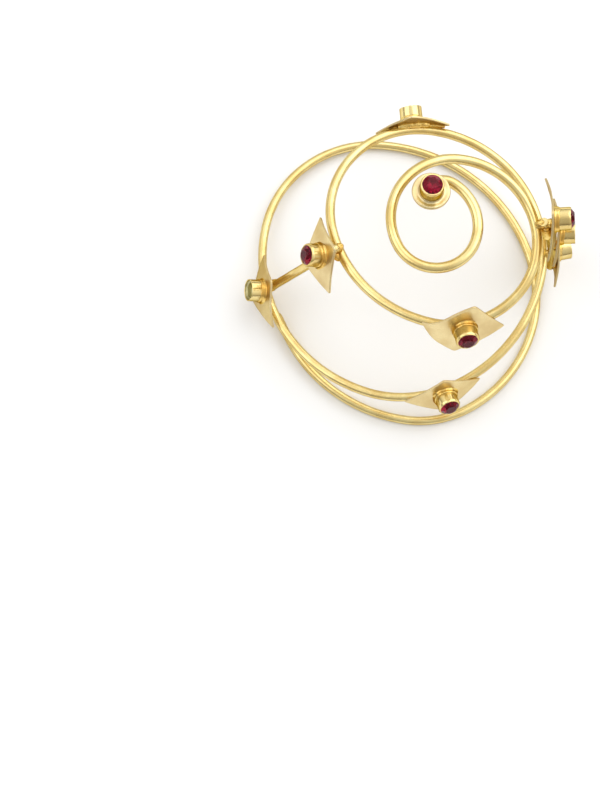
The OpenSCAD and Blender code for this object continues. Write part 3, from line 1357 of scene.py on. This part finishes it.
LUMPS: Tuple[Lump, ...] = (
    Lump("head of the strut, upper side", ((-18.0, -0.7, 28.7, 1.05), (-18.9, -1.2, 28.9, 1.15))),
    Lump("head of the strut, lower side", ((-18.3, -2.6, 27.2, 1.1), (-19.6, -2.0, 27.6, 1.05))),
    Lump("foot of the strut", ((-33.5, -2.5, 6.7, 1.05), (-34.6, -2.7, 6.0, 1.2))),
    Lump("head of the strut to the wire", ((-20.2, -1.6, 27.8, 1.0),)),
    Lump("foot of the strut to the wire", ((-34.25, -2.85, 5.4, 1.15),)),
    Lump("head of the post to the wire", ((29.3, 1.9, 38.1, 1.15),)),
    Lump("middle of the post to the wire", ((34.7, 1.9, 16.9, 0.9),)),
    Lump("foot end of the wire", ((-32.9, -9.6, 1.2, 0.7), (-33.6, -9.4, 3.4, 0.75))),
    Lump("crown disc", ((3.0, 8.6, 46.9, 1.15), (3.0, 8.0, 47.6, 0.9))),
    Lump("head of the post", ((30.3, 1.2, 36.0, 1.15), (31.0, 0.4, 33.5, 1.05))),
)


@dataclass
class SolderJoints:
    """The lumps of solder that hold leaves, rods and turns of wire together.

    Attributes:
        spiral: Rule of the wire.
        finish: Finish of the solder.
        grain: Size of the cells that the lumps are worked out in, in millimetres.
        flow: Passes that melt the beads together.
        uneven: Height of the lumps' unevenness.
        spacing: Largest distance between two beads.
        to_wire: Share of the way to the wire's centre that a joining chain goes.
        sag: How fast a seam falls away from a bent leaf.
        thin_out: How much a seam gets thinner towards its ends.
        thinnest: Smallest radius of a seam.
        run_out: Step between the beads of solder that ran up a leaf's back.
        run_size: Radius of these beads.
        beads: Place and radius of all beads so far.
    """

    spiral: Spiral
    finish: Material
    grain: float = 0.13
    flow: int = 5
    uneven: float = 0.5
    spacing: float = 0.22
    to_wire: float = 0.8
    sag: float = 0.018
    thin_out: float = 1.1
    thinnest: float = 0.45
    run_out: float = 0.95
    run_size: float = 1.1
    beads: List[Bead] = field(default_factory=list)

    def chain(self, *spots: Sequence[float]) -> None:
        """Adds beads along a path.

        Args:
            *spots: Place and radius, x, y, z and r, of each corner of the path.
        """
        for one, two in zip(spots, spots[1:]):
            one, two = np.array(one, float), np.array(two, float)
            parts = max(1, math.ceil(np.linalg.norm((two - one)[:3]) / self.spacing))
            self.beads += [tuple(one + (two - one) * k / parts) for k in range(parts + 1)]

    def add(self, lump: Lump) -> None:
        """Adds one lump.

        Args:
            lump: Where it sits.
        """
        path = lump.path
        if len(path) == 1:
            start = np.array(path[0][:3])
            end = start + (self.spiral.nearest(start) - start) * self.to_wire
            path += ((*end, path[0][3]),)
        self.chain(*path)

    def under_leaf(self, plan: LeafPlan) -> None:
        """Adds the lump between a leaf and the wire or rod that carries it.

        Args:
            plan: How the leaf is cut and placed.
        """
        placed = plan.matrix(self.spiral)

        def spot(x: float, y: float, z: float, r: float) -> Tuple[float, ...]:
            """A bead at a place in the leaf's own frame."""
            return (*(placed @ np.array([x, y, z, 1.0]))[:3], r)

        if plan.leg:
            self.chain(spot(plan.leg_x, 0, -0.75, 1.12), spot(plan.leg_x, 0, -plan.leg, 0.92),
                       spot(plan.leg_x, 0, -plan.leg - 0.3, 1.0))
            return
        deep, big = -plan.off / 2 - 0.12, plan.off / 2 + 0.46
        self.chain(*(spot(x, -plan.up, deep - self.sag * x * x,
                          max(big * (1 - self.thin_out * (x / plan.seam) ** 2 / plan.seam),
                              self.thinnest))
                     for x in np.linspace(-plan.seam - plan.reach, plan.seam, 9)))
        if plan.climb:
            run = [self.run_out * k for k in range(-4, 4)]
            self.chain(*(spot(x, plan.climb - plan.up, deep - self.sag * x * x,
                              self.run_size * (1 - 0.3 * (x / run[0]) ** 2)) for x in run))

    def tree(self) -> Tree:
        """Builds the tree that melts beads into lumps.

        Returns:
            The geometry node tree.
        """
        tree, given = open_tree("solder_flow", {
            "Beads": "Geometry", "Cell": "Float", "Flow": "Int", "Unevenness": "Float",
            "Finish": "Material"})
        size = add_node(tree, "GeometryNodeInputNamedAttribute", {"Name": "size"},
                        data_type="FLOAT").outputs["Attribute"]
        points = add_node(tree, "GeometryNodeMeshToPoints", {
            "Mesh": given["Beads"], "Radius": size})
        volume = add_node(tree, "GeometryNodePointsToVolume", {
            "Points": points, "Radius": size, "Voxel Size": given["Cell"]},
            resolution_mode="VOXEL_SIZE")
        skin = add_node(tree, "GeometryNodeVolumeToMesh", {"Volume": volume, "Threshold": 0.1})
        melted = add_node(tree, "GeometryNodeBlurAttribute", {
            "Iterations": given["Flow"]}, data_type="FLOAT_VECTOR")
        tree.links.new(add_node(tree, "GeometryNodeInputPosition").outputs[0],
                       next(i for i in melted.inputs if i.enabled and i.name == "Value"))
        calm = add_node(tree, "GeometryNodeSetPosition", {"Geometry": skin, "Position": melted})
        close_tree(tree, calm, {"Scale": 0.9, "Detail": 2.0}, given["Unevenness"],
                   given["Finish"], MM)
        return tree

    def build(self) -> None:
        """Melts all beads into one piece and hands it over."""
        mesh = bpy.data.meshes.new("solder_beads")
        mesh.from_pydata([b[:3] for b in self.beads], [], [])
        sizes = mesh.attributes.new("size", "FLOAT", "POINT")
        sizes.data.foreach_set("value", [b[3] for b in self.beads])
        lumps = show("solder_joints", mesh)
        grow(lumps, self.tree(), {"Cell": self.grain, "Flow": self.flow,
                                  "Unevenness": self.uneven, "Finish": self.finish})
        hand_over(lumps, GILT_SLOT)


# Crown disc


@dataclass
class CrownSetting:
    """The disc on the wire's crown end with its cup.

    Attributes:
        finishes: Finish of the disc and of the cup.
        at: Place of the disc's underside.
        diameter: Diameter of the disc.
        thick: Thickness of the disc.
        edge: Radius of its rounded rim.
        ripple: Height of its unevenness.
        top: Steps of its upper face: radius, and height above the face.
        seed: Picks the cup's dents.
    """

    finishes: Tuple[Material, ...]
    at: Point = (2.5, 5.95, 47.8)
    diameter: float = 8.9
    thick: float = 0.9
    edge: float = 0.38
    ripple: float = 0.04
    top: Tuple[Tuple[float, float], ...] = (
        (3.7, -0.03), (3.35, -0.06), (3.15, -0.05), (2.98, 0.04), (2.84, 0.18), (2.76, 0.4),
        (2.6, 0.42), (0, 0.3))
    seed: int = 23

    def seat(self) -> np.ndarray:
        """Frame of the stone's seat.

        Returns:
            A 4 by 4 matrix in millimetres.
        """
        matrix = np.eye(4)
        matrix[:3, 3] = np.array(self.at) + [0, 0, self.thick + Cup().height]
        return matrix

    def build(self) -> None:
        """Makes the disc and its cup and hands them over."""
        draft, r, h, edge = Draft(), self.diameter / 2, self.thick, self.edge
        turns = np.linspace(0, QUARTER, 6)
        rim = [(r - edge + edge * math.sin(a), edge - edge * math.cos(a)) for a in turns]
        rim += [(r - edge + edge * math.cos(a), h - edge + edge * math.sin(a)) for a in turns]
        profile = [(r * k / 5, 0) for k in range(5)] + rim + [(x, h + z) for x, z in self.top]
        draft.lathe(profile, 96, 0, lambda p: p + np.c_[
            np.zeros((len(p), 2)), self.ripple * wobble(p[:, :2], 5.0, 11)])
        Cup(seed=self.seed).turn(draft, 1, h)
        matrix = np.eye(4)
        matrix[:3, 3] = self.at
        draft.place(matrix)
        hand_over(draft.piece("crown_setting_dressed", self.finishes), GILT_SLOT,
                  "crown_setting")


# Stage


@dataclass(frozen=True)
class Softbox:
    """A square soft light aimed at the cage.

    Attributes:
        name: Name of the light.
        at: Its place in metres.
        size: Its side in metres.
        power: Its power in watts.
        aim: Place that it is aimed at, in metres.
    """

    name: str
    at: Point
    size: float
    power: float
    aim: Point = (0.0, 0.0, 0.02)

    def build(self) -> None:
        """Adds the light."""
        data = bpy.data.lights.new(self.name, "AREA")
        data.size = self.size
        data.energy = self.power
        data.color = linear(WHITE)[:3]
        lamp = show(self.name, data)
        lamp.location = self.at
        way = Vector(self.aim) - Vector(self.at)
        lamp.rotation_euler = way.to_track_quat("-Z", "Y").to_euler()


@dataclass
class Studio:
    """Camera at the photograph's angle, soft light and floor.

    Attributes:
        eye: Place of the camera in millimetres.
        tilt: Turn of the camera about x in degrees.
        focal_px: Focal length in pixels of the frame.
        frame_px: Height of the frame in pixels.
        sensor_mm: Height of the sensor.
        sky: Brightness of the room overhead.
        walls: Sine of the height above the horizon, and colour of the room there.
        dim_side: Way from the cage to the dimmest part of the room.
        dim_from: Closeness to that way at which it starts to dim, and at which it has.
        dimmed: Share of the brightness that is left there.
        lights: Soft lights.
    """

    eye: Point = (-27.478, -131.061, 400.492)
    tilt: float = 14.0
    focal_px: float = 1640.0
    frame_px: float = 800.0
    sensor_mm: float = 36.0
    sky: float = 1.16
    walls: Tuple[Tuple[float, str], ...] = (
        (0.0, "#7F7A71"), (0.08, "#9D978D"), (0.28, "#DEDCD8"), (0.6, WHITE))
    dim_side: Point = (-0.4, -0.8, 0.5)
    dim_from: Tuple[float, float] = (0.2, 0.9)
    dimmed: float = 0.5
    lights: Tuple[Softbox, ...] = (
        Softbox("key_right", (0.8, 0.55, 0.95), 1.6, 7.5),
        Softbox("fill_left", (-0.9, -0.1, 0.9), 1.0, 3.0))

    def camera(self) -> None:
        """Sets up the camera."""
        data = bpy.data.cameras.new("camera")
        data.sensor_fit = "VERTICAL"
        data.sensor_height = self.sensor_mm
        data.lens = self.focal_px / self.frame_px * self.sensor_mm
        data.clip_start = 0.01
        camera = show("camera", data)
        camera.location = [v * MM for v in self.eye]
        camera.rotation_euler = (math.radians(self.tilt), 0, 0)
        bpy.context.scene.camera = camera

    def world(self) -> None:
        """Sets a pale room: bright overhead, dimmer at the walls and in front on the left."""
        world = bpy.data.worlds.new("room")
        bpy.context.scene.world = world
        world.use_nodes = True
        tree = world.node_tree
        tree.nodes.clear()
        way = add_node(tree, "ShaderNodeTexCoord").outputs["Generated"]
        level = add_node(tree, "ShaderNodeSeparateXYZ", {0: way}).outputs["Z"]
        near = add_node(tree, "ShaderNodeVectorMath", {
            0: way, 1: Vector(self.dim_side).normalized()}, operation="DOT_PRODUCT")
        hood = add_node(tree, "ShaderNodeMapRange", {
            "Value": near.outputs["Value"], "From Min": self.dim_from[0],
            "From Max": self.dim_from[1], "To Min": 1.0, "To Max": self.dimmed},
            interpolation_type="SMOOTHSTEP")
        walls = add_node(tree, "ShaderNodeValToRGB", {0: level}, stops=self.walls)
        strength = add_node(tree, "ShaderNodeMath", {0: hood, 1: self.sky},
                            operation="MULTIPLY")
        sky = add_node(tree, "ShaderNodeBackground", {"Color": walls, "Strength": strength})
        add_node(tree, "ShaderNodeOutputWorld", {"Surface": sky})

    def build(self) -> None:
        """Sets up everything round the cage."""
        self.camera()
        self.world()
        for light in self.lights:
            light.build()
        PaperFloor().build()
        bpy.context.scene.view_settings.view_transform = "Standard"
        bpy.context.scene.view_settings.look = "None"


# All together


def main() -> None:
    """Builds the cage piece by piece."""
    logging.basicConfig(level=logging.INFO, format="%(name)s: %(message)s")
    drawn, rolled, burnished, flowed, bare = (finish.build() for finish in (
        DRAWN_WIRE, ROLLED_SHEET, BURNISHED_STRIP, FLOWED_SOLDER, BARE_CUP))
    spiral = Spiral()
    WoundWire(spiral, drawn).build()
    Rods(drawn).build()
    maker = LeafMaker(spiral, (rolled, burnished, flowed, bare))
    cutter = StoneCutter(Garnet().build())
    solder = SolderJoints(spiral, flowed)
    for seed, plan in enumerate(LEAVES):
        maker.build(plan, seed)
        solder.under_leaf(plan)
        if plan.stone:
            seat = plan.matrix(spiral)
            seat[:3, 3] += seat[:3, 2] * (maker.thick + Cup().height - plan.sink)
            cutter.build(plan.stone, seat, plan.spin)
    crown = CrownSetting((rolled, burnished))
    crown.build()
    cutter.build("garnet_crown", crown.seat(), 8)
    for lump in LUMPS:
        solder.add(lump)
    solder.build()
    Studio().build()
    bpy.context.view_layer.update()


if __name__ == "__main__":
    main()
